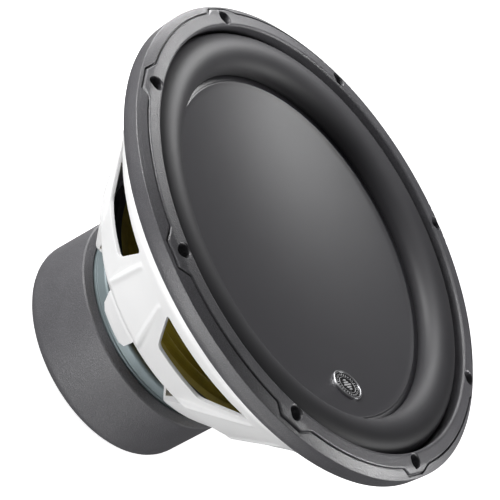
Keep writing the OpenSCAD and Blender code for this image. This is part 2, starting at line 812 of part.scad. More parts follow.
module lead(side) {
    rings = [for (i = [0:lead_rings - 1]) let (
            t = i / (lead_rings - 1),
            p = lead_point(t, side),
            ahead = unit(lead_point(min(t + 0.01, 1), side) - lead_point(max(t - 0.01, 0), side)),
            across = unit(cross([0, 0, 1], ahead)),
            up = cross(ahead, across))
        [for (k = [0:lead_sides - 1]) let (w = 360 * k / lead_sides)
            p + lead_r * (cos(w) * across + sin(w) * up)]];
    points = [for (ring = rings) each ring];
    sides = [for (i = [0:lead_rings - 2]) for (k = [0:lead_sides - 1]) let (n = (k + 1) % lead_sides)
        [i * lead_sides + k, (i + 1) * lead_sides + k, (i + 1) * lead_sides + n, i * lead_sides + n]];
    first = [for (k = [0:lead_sides - 1]) k];
    last = [for (k = [lead_sides - 1:-1:0]) (lead_rings - 1) * lead_sides + k];
    polyhedron(points = points, faces = concat(sides, [first, last]), convexity = 4);
}

module tinsel_lead_red() {
    color("#b87a4a") at_terminal() lead(1);
}

module tinsel_lead_black() {
    color("#b87a4a") at_terminal() lead(-1);
}

trim_ring();
basket();
surround();
cone_dish();
cone_neck();
badge_bezel();
badge_face();
spider();
spider_ring();
voice_coil_former();
voice_coil();
tinsel_lead_red();
tinsel_lead_black();
terminal_block();
button_red();
button_black();
button_spring_red();
button_spring_black();
contact_red();
contact_black();
terminal_rivet();
top_plate();
magnet_front();
magnet_rear();
back_plate_and_pole();
shorting_ring();
magnet_boot();
foot_screws();
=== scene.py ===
"""Looks of a twelve-inch car subwoofer driver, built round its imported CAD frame.

Lengths in this file are millimetres until a mesh is made, unless a name ends in _m.
"""

import json
import math

import bmesh
import bpy
import numpy as np
from mathutils import Matrix, Vector


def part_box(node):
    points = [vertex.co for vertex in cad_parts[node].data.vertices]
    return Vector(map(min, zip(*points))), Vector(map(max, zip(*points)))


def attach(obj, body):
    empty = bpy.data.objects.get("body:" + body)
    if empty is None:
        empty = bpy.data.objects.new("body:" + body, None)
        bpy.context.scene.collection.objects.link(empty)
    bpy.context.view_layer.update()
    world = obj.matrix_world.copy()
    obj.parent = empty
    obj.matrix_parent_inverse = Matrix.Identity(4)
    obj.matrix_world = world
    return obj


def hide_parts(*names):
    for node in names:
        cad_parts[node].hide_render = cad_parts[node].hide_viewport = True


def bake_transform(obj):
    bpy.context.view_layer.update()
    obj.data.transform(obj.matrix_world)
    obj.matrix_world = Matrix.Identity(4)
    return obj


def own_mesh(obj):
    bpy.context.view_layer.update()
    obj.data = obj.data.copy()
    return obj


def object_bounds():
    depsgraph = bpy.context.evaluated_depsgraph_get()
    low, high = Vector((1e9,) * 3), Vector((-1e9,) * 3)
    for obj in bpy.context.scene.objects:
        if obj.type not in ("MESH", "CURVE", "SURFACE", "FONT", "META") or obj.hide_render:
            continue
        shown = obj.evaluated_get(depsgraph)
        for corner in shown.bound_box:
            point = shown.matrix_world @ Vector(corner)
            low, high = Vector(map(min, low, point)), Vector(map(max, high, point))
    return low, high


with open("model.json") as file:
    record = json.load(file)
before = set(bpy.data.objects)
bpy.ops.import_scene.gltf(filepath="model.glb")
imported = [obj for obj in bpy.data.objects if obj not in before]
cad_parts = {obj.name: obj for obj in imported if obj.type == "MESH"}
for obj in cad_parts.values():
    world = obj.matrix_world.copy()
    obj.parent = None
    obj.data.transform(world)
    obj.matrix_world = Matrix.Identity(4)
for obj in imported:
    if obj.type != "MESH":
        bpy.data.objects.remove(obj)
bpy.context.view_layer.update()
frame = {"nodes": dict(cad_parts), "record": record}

MM = 0.001
FULL_TURN = 2 * math.pi
CONE = "cone_assembly"
CHASSIS = "chassis"


# --- Sizes, from the frame ----------------------------------------------------------------

def radius(node):
    """Outer radius of a round CAD node."""
    return max(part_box(node)[1].x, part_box(node)[1].y) / MM


def top(node):
    """Height of a CAD node's highest point."""
    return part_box(node)[1].z / MM


def bottom(node):
    """Height of a CAD node's lowest point."""
    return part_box(node)[0].z / MM


bolt_mount = next(m for m in frame["record"]["mounts"] if m["name"] == "mounting_bolts")
BOLT_R = bolt_mount["dims"]["pcd_mm"] / 2
BOLT_COUNT = bolt_mount["dims"]["count"]
BOLT_HOLE_R = bolt_mount["dims"]["hole_r_mm"]

RING_R = radius("trim_ring")
RING_TOP = top("trim_ring")
RING_IN_R = BOLT_R - 6
RING_BASE_R = RING_R - 0.7
RING_HOLE_R = 4.7
RIDGE_Z = RING_TOP - 5.9
GROOVE_R = BOLT_R + 3.6
GROOVE_Z = RING_TOP - 1.4
BEVEL_R = RING_R - 2.2
BEVEL_Z = RIDGE_Z + 1.8

FLANGE_R = BOLT_R + 7
SHEET = 2.0
WALL_R = BOLT_R - 9
WALL_Z = -14.5
WALL_BEND = 2.0
RIM_R = 91.0
RIM_Z = top("top_plate") + 19.2
LEDGE_R = RIM_R - 15
SPOKES = 7
SPOKE_TURN = 2.0
WINDOW_TOP_Z = -22.2
WINDOW_LOW_Z = -53.7
WINDOW_TOP_W = 80.0
WINDOW_LOW_W = 41.0
WINDOW_CORNER = 3.0
PANEL_TOP_Z = WINDOW_TOP_Z - 1
KNEE_Z = RIM_Z + 9
PANEL_RISE = 4.0
PANEL_TOP_W = 26.0
PANEL_LOW_W = 42.0
FOOT_W = 21.0
FOOT_TOP_W = 34.0

ROLL_OUT_R = RING_IN_R - 1
ROLL_IN_R = radius("cone_dish")
ROLL_TOP = top("surround")
RUBBER = 1.8
CLAMPED_R = 145.1
LIP_R = ROLL_IN_R - 4.6
LIP_Z = -0.2
DISH_DEPTH = 20.0
DISH_CURVE = (LIP_R ** 2 + DISH_DEPTH ** 2) / (2 * DISH_DEPTH)
DISH_T = 2.2

PLATE_R = radius("top_plate")
PLATE_BORE_R = 28.4
PLATE_TOP = top("top_plate")
PLATE_LOW = bottom("top_plate")
BOOT_R = radius("magnet_boot")
BOOT_LOW = bottom("magnet_boot")
BOOT_TOP = top("magnet_boot")
FORMER_R = radius("voice_coil_former")
SPIDER_R = radius("spider")
SPIDER_HALF_T = 0.45
SPIDER_Z = (top("spider") + bottom("spider")) / 2 - SPIDER_HALF_T
SPIDER_WAVES = 6
SPIDER_WAVE_H = 5.0
NECK_COLLAR_R = FORMER_R + 2.2
COLLAR_Z = bottom("cone_neck")

TERMINAL_TURN = SPOKE_TURN + 4 * 360 / SPOKES


# --- Shader maths -------------------------------------------------------------------------

MIX_FIRST_COLOUR = 6
MIX_SECOND_COLOUR = 7
MIX_COLOUR_OUT = 2


class Flow:
    """A value that runs through a finish's nodes, on which sums can be written."""

    def __init__(self, finish, socket):
        self.finish = finish
        self.socket = socket

    def sum(self, operation, a, b=0.0):
        """One Math node."""
        return self.finish.node("ShaderNodeMath", {"operation": operation}, {0: a, 1: b})

    def __add__(self, other):
        return self.sum("ADD", self, other)

    def __radd__(self, other):
        return self.sum("ADD", other, self)

    def __sub__(self, other):
        return self.sum("SUBTRACT", self, other)

    def __rsub__(self, other):
        return self.sum("SUBTRACT", other, self)

    def __mul__(self, other):
        return self.sum("MULTIPLY", self, other)

    def __rmul__(self, other):
        return self.sum("MULTIPLY", other, self)

    def __pow__(self, other):
        return self.sum("POWER", self, other)

    def wave(self):
        """Sine of the value, from -1 to 1."""
        return self.sum("SINE", self)


class Finish:
    """One material: nodes made from here end in its Principled shader."""

    def __init__(self, name, colour, roughness, metallic=0.0, specular=0.5, coat=0.0,
                 coat_roughness=0.1, sheen=0.0):
        self.material = bpy.data.materials.new(name)
        self.material.use_nodes = True
        self.tree = self.material.node_tree
        self.shader = self.tree.nodes["Principled BSDF"]
        self.put("Base Color", (*colour, 1))
        self.put("Roughness", roughness)
        self.put("Metallic", metallic)
        self.put("Specular IOR Level", specular)
        self.put("Coat Weight", coat)
        self.put("Coat Roughness", coat_roughness)
        self.put("Sheen Weight", sheen)
        self.material.diffuse_color = (*colour, 1)

    def node(self, kind, settings=None, inputs=None, output=0):
        """Makes a node: its settings first, then its sockets' values or links."""
        made = self.tree.nodes.new(kind)
        for key, value in (settings or {}).items():
            setattr(made, key, value)
        for key, value in (inputs or {}).items():
            self.feed(made.inputs[key], value)
        return Flow(self, made.outputs[output])

    def feed(self, socket, value):
        """Links a Flow to a socket, or sets the socket to a constant."""
        if isinstance(value, Flow):
            self.tree.links.new(value.socket, socket)
        else:
            socket.default_value = value

    def put(self, name, value):
        """Feeds one of the Principled shader's sockets."""
        self.feed(self.shader.inputs[name], value)

    def place(self):
        """Where a point is, in metres, as a vector."""
        return self.node("ShaderNodeTexCoord", output="Object")

    def parts(self, vector):
        """A vector's X, Y and Z."""
        split = self.node("ShaderNodeSeparateXYZ", inputs={0: vector})
        return [Flow(self, output) for output in split.socket.node.outputs]

    def polar(self):
        """Distance from the driver's axis, turn round it in radians, and height, in metres."""
        x, y, z = self.parts(self.place())
        across = (x * x + y * y) ** 0.5
        return across, y.sum("ARCTAN2", y, x), z

    def noise(self, size, detail=3.0, rough=0.55, where=None):
        """Noise from 0 to 1 with blobs of about the given size in millimetres."""
        return self.node("ShaderNodeTexNoise", {"noise_dimensions": "3D"}, {
            "Vector": where or self.place(), "Scale": 1 / (size * MM),
            "Detail": detail, "Roughness": rough})

    def grains(self, size):
        """Distance to the centre of the nearest grain, of about the given size in millimetres."""
        return self.node("ShaderNodeTexVoronoi", {"feature": "F1"}, {
            "Vector": self.place(), "Scale": 1 / (size * MM)})

    def blend(self, share, a, b):
        """Colour a at share 0, and b at share 1."""
        return self.node("ShaderNodeMix", {"data_type": "RGBA"}, {
            "Factor": share, MIX_FIRST_COLOUR: (*a, 1), MIX_SECOND_COLOUR: (*b, 1)}, MIX_COLOUR_OUT)

    def relief(self, height, depth):
        """A bump whose height of 1 is depth millimetres."""
        self.put("Normal", self.node("ShaderNodeBump", inputs={
            "Height": height, "Distance": depth * MM, "Strength": 1.0}))


# --- Finishes -----------------------------------------------------------------------------

def grained_rubber(name, colour, roughness, grain, depth):
    """Moulded rubber with a fine leathery grain and faint wear."""
    f = Finish(name, colour, roughness, specular=0.9)
    cloud = f.noise(14, 4)
    fine = f.noise(grain * 2, 5, 0.7)
    speck = f.grains(grain)
    worn = [c * 1.9 + 0.014 for c in colour]
    dull = [c * 0.45 for c in colour]
    wear = cloud * 0.25 + speck * 0.6 + fine * 0.25
    f.put("Base Color", f.blend(wear, dull, worn))
    f.put("Roughness", roughness - 0.08 + cloud * 0.16)
    f.relief(speck + fine * 0.6, depth)
    return f.material


def satin_rubber():
    """The surround: smooth butyl, with a slight bloom."""
    f = Finish("surround_rubber", (0.056, 0.055, 0.061), 0.50, specular=0.6)
    cloud = f.noise(30, 3)
    fine = f.noise(0.7, 3)
    f.put("Base Color", f.blend(cloud, (0.040, 0.039, 0.044), (0.056, 0.055, 0.060)))
    f.put("Roughness", 0.44 + cloud * 0.10 + fine * 0.06)
    f.relief(fine, 0.02)
    return f.material


def dish_plastic():
    """The dish: injection-moulded polypropylene with a very fine spark-eroded texture."""
    f = Finish("dish_plastic", (0.026, 0.025, 0.030), 0.38, specular=1.0)
    cloud = f.noise(40, 2)
    fine = f.noise(0.5, 4, 0.7)
    mottle = cloud * 0.5 + fine * 0.5
    f.put("Base Color", f.blend(mottle, (0.023, 0.022, 0.027), (0.033, 0.032, 0.038)))
    f.put("Roughness", 0.32 + fine * 0.12)
    f.relief(fine, 0.03)
    return f.material


def white_paint():
    """Baked white paint on pressed steel, with a faint orange peel and a faint cloudy mottle."""
    f = Finish("white_paint", (0.86, 0.86, 0.86), 0.38, specular=0.5, coat=0.15, coat_roughness=0.25)
    peel = f.noise(2.2, 2, 0.4)
    cloud = f.noise(35, 3)
    f.put("Base Color", f.blend(cloud, (0.78, 0.78, 0.785), (0.84, 0.84, 0.84)))
    f.put("Roughness", 0.33 + cloud * 0.10)
    f.relief(peel, 0.05)
    return f.material


def zinc_plate():
    """Bright zinc plating over turned steel: fine rings and a cold blue cast."""
    f = Finish("zinc_plate", (0.34, 0.39, 0.40), 0.5, metallic=0.35)
    across, _, z = f.polar()
    section = f.node("ShaderNodeCombineXYZ", inputs={"X": across, "Y": z})
    rings = f.noise(1.0, 3, 0.6, where=section)
    cloud = f.noise(18, 3)
    f.put("Base Color", f.blend(cloud, (0.12, 0.15, 0.16), (0.19, 0.23, 0.24)))
    f.put("Roughness", 0.42 + rings * 0.12)
    f.relief(rings, 0.02)
    return f.material


THREAD_PITCH = 0.9
THREADS_ROUND = 520
WIRE_PITCH = 0.5


def spider_cloth():
    """Woven cotton dipped in resin, olive gold: threads run round and outwards."""
    f = Finish("spider_cloth", (0.25, 0.19, 0.01), 0.75, specular=0.25, sheen=0.2)
    across, turn, _ = f.polar()
    warp = (across * (FULL_TURN / (THREAD_PITCH * MM))).wave()
    weft = (turn * THREADS_ROUND).wave()
    cloud = f.noise(6, 4)
    weave = (warp * weft) * 0.5 + 0.5
    shade = weave * 0.55 + cloud * 0.45
    f.put("Base Color", f.blend(shade, (0.20, 0.145, 0.006), (0.62, 0.48, 0.045)))
    f.put("Roughness", 0.62 + cloud * 0.2)
    f.relief(weave * 0.7 + cloud * 0.3, 0.12)
    return f.material


def moulded_plastic(name, colour, roughness):
    """Moulded plastic with a matte spark texture."""
    f = Finish(name, colour, roughness, specular=0.45)
    fine = f.noise(0.45, 4, 0.7)
    cloud = f.noise(9, 3)
    light = [c * 1.5 + 0.006 for c in colour]
    f.put("Base Color", f.blend(cloud * 0.5 + fine * 0.5, colour, light))
    f.put("Roughness", roughness - 0.06 + fine * 0.12)
    f.relief(fine, 0.03)
    return f.material


def glossy_plastic(name, colour):
    """Polished plastic or enamel."""
    f = Finish(name, colour, 0.22, coat=0.3, coat_roughness=0.08)
    cloud = f.noise(5, 3)
    dark = [c * 0.8 for c in colour]
    f.put("Base Color", f.blend(cloud, dark, colour))
    f.put("Roughness", 0.18 + cloud * 0.1)
    f.relief(f.noise(1.2, 2), 0.01)
    return f.material


def bare_metal(name, colour, roughness, grain=0.8):
    """Plain metal, faintly brushed and dulled in patches."""
    f = Finish(name, colour, roughness, metallic=1.0)
    cloud = f.noise(7, 4)
    brush = f.noise(grain, 4, 0.7)
    dull = [c * 0.78 for c in colour]
    f.put("Base Color", f.blend(cloud * 0.6 + brush * 0.4, dull, colour))
    f.put("Roughness", roughness - 0.05 + brush * 0.14)
    f.relief(brush, 0.015)
    return f.material


def fired_ferrite():
    """Grey-black ceramic, slightly pitted."""
    f = Finish("fired_ferrite", (0.035, 0.035, 0.038), 0.6)
    fine = f.noise(0.8, 5, 0.75)
    chips = f.grains(3.0)
    f.put("Base Color", f.blend(fine, (0.025, 0.025, 0.028), (0.07, 0.07, 0.072)))
    f.put("Roughness", 0.5 + fine * 0.2)
    f.relief(fine * 0.7 + chips * 0.3, 0.08)
    return f.material


def wound_copper():
    """Enamelled wire laid in turns, seen as fine ribs round the coil."""
    f = Finish("wound_copper", (0.55, 0.22, 0.08), 0.3, metallic=1.0)
    _, _, z = f.polar()
    ribs = (z * (FULL_TURN / (WIRE_PITCH * MM))).wave() * 0.5 + 0.5
    f.put("Base Color", f.blend(ribs, (0.32, 0.11, 0.04), (0.66, 0.28, 0.11)))
    f.put("Roughness", 0.26 + ribs * 0.1)
    f.relief(ribs, 0.15)
    return f.material


def braided_copper():
    """Tinsel wire: many fine copper strands twisted together."""
    f = Finish("braided_copper", (0.62, 0.40, 0.26), 0.38, metallic=1.0)
    strands = f.noise(0.35, 3, 0.6)
    f.put("Base Color", f.blend(strands, (0.40, 0.24, 0.15), (0.78, 0.56, 0.40)))
    f.put("Roughness", 0.32 + strands * 0.15)
    f.relief(strands, 0.06)
    return f.material


def floor_paint():
    """A pale seamless floor with a faint mottle."""
    f = Finish("floor_paint", (0.90, 0.90, 0.90), 0.7, specular=0.2)
    cloud = f.noise(400, 2)
    f.put("Base Color", f.blend(cloud, (0.89, 0.89, 0.89), (0.91, 0.91, 0.91)))
    f.put("Emission Color", (1, 1, 1, 1))
    f.put("Emission Strength", 0.9)
    f.put("Roughness", 0.65 + cloud * 0.1)
    return f.material


# --- Mesh making --------------------------------------------------------------------------

SAME_POINT_M = 1e-7


def shade(mesh, crease_deg):
    """Smooth shading with sharp edges where faces meet at more than crease_deg."""
    mesh.polygons.foreach_set("use_smooth", [True] * len(mesh.polygons))
    mesh.set_sharp_from_angle(angle=math.radians(crease_deg))


def make_piece(name, points, faces, material, crease_deg=35):
    """An object from points in millimetres and faces, with its normals outwards."""
    mesh = bpy.data.meshes.new(name)
    mesh.from_pydata([Vector(p) * MM for p in points], [], faces)
    mesh.materials.append(material)
    bm = bmesh.new()
    bm.from_mesh(mesh)
    bmesh.ops.remove_doubles(bm, verts=bm.verts, dist=SAME_POINT_M)
    bmesh.ops.recalc_face_normals(bm, faces=bm.faces)
    bm.to_mesh(mesh)
    bm.free()
    shade(mesh, crease_deg)
    made = bpy.data.objects.new(name, mesh)
    bpy.context.scene.collection.objects.link(made)
    return made


def rounded(outline, steps=5):
    """A closed outline whose corners are (x, y, radius) as plain (x, y) points with arcs."""
    points = []
    count = len(outline)
    for i, (x, y, r) in enumerate(outline):
        if r <= 0:
            points.append((x, y))
            continue
        at = Vector((x, y))
        back = Vector(outline[i - 1][:2]) - at
        on = Vector(outline[(i + 1) % count][:2]) - at
        u = back.normalized()
        v = on.normalized()
        half = math.acos(max(-1, min(1, u.dot(v)))) / 2
        reach = min(r / math.tan(half), back.length * 0.49, on.length * 0.49)
        r = reach * math.tan(half)
        centre = at + (u + v).normalized() * (r / math.sin(half))
        a = at + u * reach - centre
        b = at + v * reach - centre
        sweep = a.angle_signed(b)
        for k in range(steps + 1):
            turned = Matrix.Rotation(-sweep * k / steps, 2) @ a
            points.append(tuple(centre + turned))
    return points


def revolve(name, outline, material, steps=180, crease_deg=35, arc=None, warp=None):
    """Turns a closed (r, z) outline round the axis: whole, or over arc = (first, last) degrees.

    warp(r, degrees, z) may return a changed (r, degrees, z) for each point.
    """
    whole = arc is None
    first, last = arc or (0, 360)
    stations = steps if whole else steps + 1
    points, faces = [], []
    n = len(outline)
    for i in range(stations):
        degrees = first + (last - first) * i / steps
        for r, z in outline:
            r2, d2, z2 = warp(r, degrees, z) if warp else (r, degrees, z)
            a = math.radians(d2)
            points.append((r2 * math.cos(a), r2 * math.sin(a), z2))
    for i in range(steps):
        a = i * n
        b = ((i + 1) % stations) * n
        for k in range(n):
            m = (k + 1) % n
            faces.append((a + k, b + k, b + m, a + m))
    if not whole:
        faces += [tuple(range(n)), tuple(range((stations - 1) * n, stations * n))]
    return make_piece(name, points, drop_thin(points, faces), material, crease_deg)


def prism(name, outline, low, high, material):
    """A closed (x, y) outline drawn up from low to high."""
    n = len(outline)
    points = [(x, y, low) for x, y in outline] + [(x, y, high) for x, y in outline]
    faces = [tuple(range(n)), tuple(range(n, 2 * n))]
    faces += [(k, (k + 1) % n, n + (k + 1) % n, n + k) for k in range(n)]
    return make_piece(name, points, faces, material, 40)


def drop_thin(points, faces):
    """Faces without those whose corners fall together, as at a pole."""
    kept = []
    for face in faces:
        seen = []
        for k in face:
            key = tuple(round(c, 5) for c in points[k])
            if key not in [s[0] for s in seen]:
                seen.append((key, k))
        if len(seen) > 2:
            kept.append(tuple(s[1] for s in seen))
    return kept


def smoothstep(low, high, x):
    """0 below low, 1 above high, smooth between."""
    t = max(0.0, min(1.0, (x - low) / (high - low)))
    return t * t * (3 - 2 * t)


def soften(piece, width, steps=2, angle_deg=40):
    """Rounds a piece's sharp edges by width millimetres."""
    bevel = piece.modifiers.new("rounded_edges", "BEVEL")
    bevel.width = width * MM
    bevel.segments = steps
    bevel.limit_method = "ANGLE"
    bevel.angle_limit = math.radians(angle_deg)
    bevel.miter_outer = "MITER_ARC"
    bevel.harden_normals = False


def bake_modifiers(piece):
    """Applies a piece's modifiers to its mesh."""
    depsgraph = bpy.context.evaluated_depsgraph_get()
    mesh = bpy.data.meshes.new_from_object(piece.evaluated_get(depsgraph))
    piece.modifiers.clear()
    piece.data = mesh


def cut(piece, cutter):
    """Takes cutter's volume away from piece, and removes cutter."""
    tool = piece.modifiers.new("cut", "BOOLEAN")
    tool.object = cutter
    tool.operation = "DIFFERENCE"
    tool.solver = "EXACT"
    bake_modifiers(piece)
    bpy.data.objects.remove(cutter)


def join(name, parts):
    """Joins several objects into one of that name."""
    with bpy.context.temp_override(active_object=parts[0], selected_editable_objects=parts):
        bpy.ops.object.join()
    parts[0].name = name
    return parts[0]


def drill_bolt_holes(piece, outline, material, steps):
    """Cuts a revolved (r, z) outline out of a piece at each bolt."""
    drills = []
    for bolt in range(BOLT_COUNT):
        turn = Matrix.Rotation(math.radians(bolt * 360 / BOLT_COUNT), 4, "Z")
        drill = revolve("drill", outline, material, steps)
        drill.data.transform(turn @ Matrix.Translation((BOLT_R * MM, 0, 0)))
        drills.append(drill)
    cut(piece, join("drills", drills))


def stands_for(piece, body, node):
    """Hangs a finished piece on its body, in place of a CAD node, which it hides."""
    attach(piece, body)
    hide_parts(node)
    return piece


# --- Trim ring ----------------------------------------------------------------------------

TAB_HALF = 15.5
TAB_SLANT = 7.0
TAB_STEP = 4.4
GROOVE_HALF = 0.62
GROOVE_DEPTH = 1.7
# Across the groove: places in half widths, and shares of its depth.
GROOVE_SHAPE = ((-2.1, 0), (-1.6, 0.05), (-1.2, 0.2), (-1.0, 0.5), (-0.8, 1),
                (0.8, 1), (0.95, 0.5), (1.05, 0.08), (1.25, 0))
GROOVE_RETURN_DEG = 0.25
RING_ARC = 2.0
RING_STEP_Z = 4.2
FIT = 0.02


def ring_face_z(r):
    """Height of the ring's front face, before the groove."""
    line = [(RING_IN_R, RING_TOP), (GROOVE_R, GROOVE_Z), (BEVEL_R, BEVEL_Z), (RING_R, RIDGE_Z)]
    for (r0, z0), (r1, z1) in zip(line, line[1:]):
        if r <= r1:
            return z0 + (z1 - z0) * (r - r0) / (r1 - r0)
    return RIDGE_Z


def groove_path():
    """(degrees, groove radius, widening) over half a bolt's pitch, from the bolt outwards."""
    base = math.sqrt(GROOVE_R ** 2 - TAB_HALF ** 2)
    crest = TAB_HALF - TAB_SLANT
    slope = math.hypot(1, TAB_STEP / TAB_SLANT)
    path = []
    for y in (0, 1.5, 3, 4.5, 6, 7.2, crest - 0.5):
        path.append((y, base + TAB_STEP, 1.0))
    path.append((crest, base + TAB_STEP - 0.08, (1 + slope) / 2))
    for share in (0.08, 0.22, 0.4, 0.6, 0.78, 0.92):
        path.append((crest + TAB_SLANT * share, base + TAB_STEP * (1 - share), slope))
    path.append((TAB_HALF, base + 0.08, (1 + slope) / 2))
    around = []
    for y, x, wide in path:
        around.append((math.degrees(math.atan2(y, x)), math.hypot(x, y), wide))
    start = around[-1][0]
    around.append((start + GROOVE_RETURN_DEG, GROOVE_R, 1.0))
    last = 180 / BOLT_COUNT
    steps = 14
    for i in range(1, steps + 1):
        degrees = start + GROOVE_RETURN_DEG + (last - start - GROOVE_RETURN_DEG) * i / steps
        around.append((degrees, GROOVE_R, 1.0))
    return around


def ring_section(groove, wide):
    """The ring's closed (r, z) section where the groove runs at that radius."""
    arc_z = RING_TOP - RING_ARC - 0.2
    inner = [(RING_IN_R, RING_STEP_Z), (RING_IN_R, 8), (RING_IN_R, arc_z)]
    for degrees in (170, 150, 130, 112, 98):
        a = math.radians(degrees)
        inner.append((RING_IN_R + RING_ARC + RING_ARC * math.cos(a), arc_z + RING_ARC * math.sin(a)))
    half = GROOVE_HALF * wide
    face_from = RING_IN_R + RING_ARC + 0.6
    inset = groove - 2.6 * half - face_from
    near = [face_from + inset * t for t in (0, 0.25, 0.5, 0.75, 1)]
    front = [(r, ring_face_z(r)) for r in near]
    for offset, depth in GROOVE_SHAPE:
        r = groove + offset * half
        front.append((r, ring_face_z(r) - GROOVE_DEPTH * depth))
    start = groove + 1.9 * half
    for t in (0, 0.25, 0.5, 0.6, 0.75, 0.88):
        r = start + (RING_R - 0.3 - start) * t
        front.append((r, ring_face_z(r)))
    skirt = [(RING_R - 0.28, RIDGE_Z + 0.32), (RING_R - 0.05, RIDGE_Z + 0.02),
             (RING_R - 0.04, RIDGE_Z - 0.4), (RING_R - 0.35, 5),
             (RING_BASE_R, 0.5), (RING_BASE_R - 0.4, 0.05),
             (FLANGE_R + 0.05, 0.05), (FLANGE_R + 0.05, SHEET + FIT)]
    under = [(BOLT_R - 3.2, SHEET + FIT), (BOLT_R - 3.2, RING_STEP_Z)]
    return inner + front + skirt + under


def trim_ring():
    """The rubber ring over the flange, with its sunk groove and a recess for each screw head."""
    half_pitch = groove_path()
    stations = []
    for bolt in range(BOLT_COUNT):
        middle = bolt * 360 / BOLT_COUNT
        stations += [(middle - d, g, w) for d, g, w in reversed(half_pitch[1:])]
        stations += [(middle + d, g, w) for d, g, w in half_pitch[:-1]]
    sections = [ring_section(g, w) for _, g, w in stations]
    n = len(sections[0])
    points, faces = [], []
    for (degrees, _, _), section in zip(stations, sections):
        a = math.radians(degrees)
        points += [(r * math.cos(a), r * math.sin(a), z) for r, z in section]
    for i in range(len(stations)):
        a = i * n
        b = ((i + 1) % len(stations)) * n
        faces += [(a + k, b + k, b + (k + 1) % n, a + (k + 1) % n) for k in range(n)]
    ring = make_piece("trim_ring_moulding", points, faces, RING_RUBBER, 50)
    face_z = ring_face_z(BOLT_R)
    flare_r = RING_HOLE_R + 0.75
    bore = rounded([
        (0, -1, 0), (RING_HOLE_R - 0.6, -1, 0), (RING_HOLE_R - 0.6, 4, 0), (RING_HOLE_R, 5, 0.4),
        (RING_HOLE_R, face_z - 0.5, 0.8), (flare_r, face_z + 0.3, 0),
        (flare_r, face_z + 4, 0), (0, face_z + 4, 0)], 4)
    drill_bolt_holes(ring, bore, RING_RUBBER, 40)
    shade(ring.data, 38)
    return stands_for(ring, CHASSIS, "trim_ring")


# --- Basket -------------------------------------------------------------------------------

def cone_r(z):
    """Outer radius of the basket's conical wall."""
    return RIM_R + (WALL_R - RIM_R) * (z - RIM_Z) / (WALL_Z - RIM_Z)


def window_edge(z):
    """Degrees from a spoke's middle to the window's edge, with the window's rounded corners."""
    pitch = 180 / SPOKES
    share = max(0, min(1, (z - WINDOW_LOW_Z) / (WINDOW_TOP_Z - WINDOW_LOW_Z)))
    wide = WINDOW_LOW_W + (WINDOW_TOP_W - WINDOW_LOW_W) * share
    edge = pitch - math.degrees(math.asin(wide / 2 / cone_r(z)))
    near = min(abs(z - WINDOW_TOP_Z), abs(z - WINDOW_LOW_Z))
    if z > WINDOW_TOP_Z or z < WINDOW_LOW_Z:
        near = 0
    if near < WINDOW_CORNER:
        inset = WINDOW_CORNER - math.sqrt(WINDOW_CORNER ** 2 - (WINDOW_CORNER - near) ** 2)
        edge += math.degrees(inset / cone_r(z))
    return edge


def panel_half(z):
    """Half the width of a spoke's raised panel."""
    share = (z - RIM_Z) / (PANEL_TOP_Z - RIM_Z)
    return (PANEL_LOW_W + (PANEL_TOP_W - PANEL_LOW_W) * share) / 2


def panel_rise(z):
    """How far the middle of a spoke's panel stands out of the conical wall."""
    if z >= PANEL_TOP_Z:
        return 0
    if z >= KNEE_Z:
        return PANEL_RISE * (PANEL_TOP_Z - z) / (PANEL_TOP_Z - KNEE_Z)
    return PANEL_RISE * smoothstep(RIM_Z + 0.5, KNEE_Z, z)


# The rounded bead along a panel's edges.
BEAD_IN = 0.4
BEAD_W = 1.7
BEAD_H = 1.3
# Relief stands square to the sloping wall, so this share of it goes straight out from the axis.
OUTWARD = 0.80
# Grid columns over half a window.
WINDOW_COLUMNS = 9
# Columns across a panel's edge, in millimetres from it.
FLANK_COLUMNS = (-6.0, -4.2, -3.2, -2.4, -1.6, -0.9, -0.2, 0.5, 1.2, 1.9, 2.7, 3.5)
FLANK_REACH = 4.5
# Distances down a window's side at which its corner is stepped.
CORNER_STEPS = (0.12, 0.45, 1.0, 1.9, WINDOW_CORNER)


def pressed_height(side, z):
    """Relief of a spoke at side millimetres from its middle."""
    past = abs(side) - panel_half(z)
    flank = 1 - smoothstep(0.4, 3.4, past)
    ends = smoothstep(RIM_Z, RIM_Z + 4, z) * (1 - smoothstep(PANEL_TOP_Z - 5, PANEL_TOP_Z - 1, z))
    bead = BEAD_H * math.exp(-((past + BEAD_IN) / BEAD_W) ** 2) * ends
    return panel_rise(z) * flank + bead


def basket_rows():
    """(r, z) down the pressing's outer surface, from the flange's edge to the ledge's inner edge."""
    rows = [(FLANGE_R, 0), (150, 0), (145, 0), (142.5, 0)]
    for degrees in (70, 45, 20, 0):
        a = math.radians(degrees)
        rows.append((WALL_R + WALL_BEND - WALL_BEND * math.cos(a), WALL_BEND * math.sin(a) - WALL_BEND))
    rows += [(WALL_R, -6), (WALL_R, -10), (WALL_R, WALL_Z + 1.5), (WALL_R - 0.15, WALL_Z + 0.5)]
    zs = [WALL_Z - 0.7, -17.5, -20, -21.4, WINDOW_TOP_Z]
    zs += [WINDOW_TOP_Z - c for c in CORNER_STEPS]
    middle = np.linspace(WINDOW_TOP_Z - WINDOW_CORNER, WINDOW_LOW_Z + WINDOW_CORNER, 13)[1:-1]
    zs += [float(z) for z in middle]
    zs += [WINDOW_LOW_Z + c for c in reversed(CORNER_STEPS)]
    zs += [WINDOW_LOW_Z, -55, -57, -59.5, -62, -64.5, -67, -69]
    zs += [-70.3, -71.3, -72.3, -73.5, -75, -76.5, -78]
    rows += [(cone_r(z), z) for z in zs]
    rows += [(RIM_R + 0.55, RIM_Z + 1.1), (RIM_R - 0.1, RIM_Z + 0.35), (RIM_R - 1.2, RIM_Z)]
    rows += [(88, RIM_Z), (84, RIM_Z), (80, RIM_Z), (LEDGE_R, RIM_Z)]
    return rows


